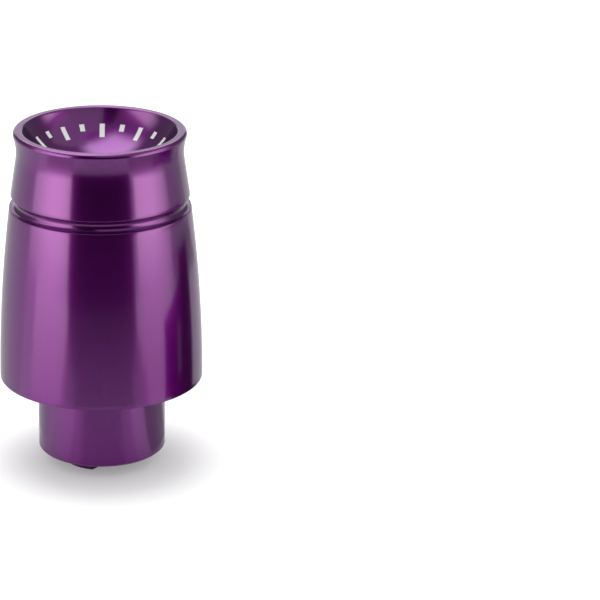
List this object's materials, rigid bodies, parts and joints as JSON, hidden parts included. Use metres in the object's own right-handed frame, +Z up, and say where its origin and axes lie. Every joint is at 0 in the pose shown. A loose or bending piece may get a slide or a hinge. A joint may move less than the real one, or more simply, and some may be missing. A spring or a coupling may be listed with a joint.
{
  "type": "bar end weight",
  "caption": "Handlebar end weight: a barrel-shaped anodised aluminium sleeve with a ring groove and dished outer end, a short spigot with a drive key, and a recessed socket head cap screw.",
  "frame": {"origin": "centre of the foot of the drive key, the flat that the part stands on", "axes": "+Z up along the turning axis, from the drive key to the dished outer end; +X along the drive key's long axis"},
  "size_m": [0.0354, 0.0354, 0.0604],
  "materials": {
    "anodised_body": "polished and dyed anodising, deep purple",
    "screw_steel": "machined stainless steel"
  },
  "bodies": {
    "root": {"weight_body": "anodised_body", "cap_screw": "screw_steel"}
  },
  "joints": []
}
